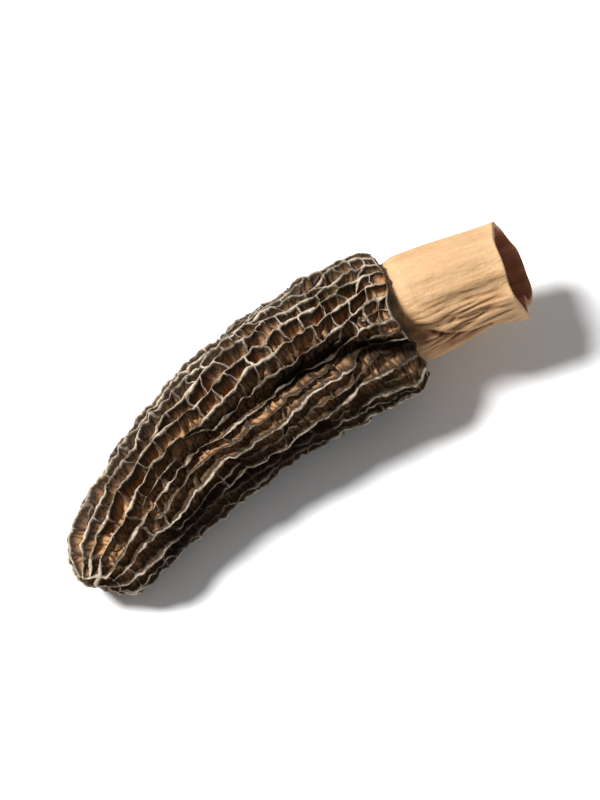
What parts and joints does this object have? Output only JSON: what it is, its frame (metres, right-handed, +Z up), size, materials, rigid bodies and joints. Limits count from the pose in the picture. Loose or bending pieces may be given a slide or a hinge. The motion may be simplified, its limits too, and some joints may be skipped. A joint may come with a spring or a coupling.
{
  "type": "dried morel mushroom",
  "caption": "Whole dried morel lying on its side: curved, blunt, dark cap with raised ribs and deep pits, and a pale hollow stem with an open cut end.",
  "frame": {"origin": "on the surface that the mushroom lies on, under the middle of its box", "axes": "+X along the stem towards its cut end, the cap towards -X and bending to -Y, +Z up"},
  "size_m": [0.068, 0.0346, 0.018],
  "materials": {
    "cap_flesh": "dry, matte, dark brown pits under pale worn ridges",
    "stem_flesh": "dry, matte, cream tan with fine lengthwise grooves"
  },
  "bodies": {
    "root": {"cap": "cap_flesh", "stem": "stem_flesh"}
  },
  "joints": []
}
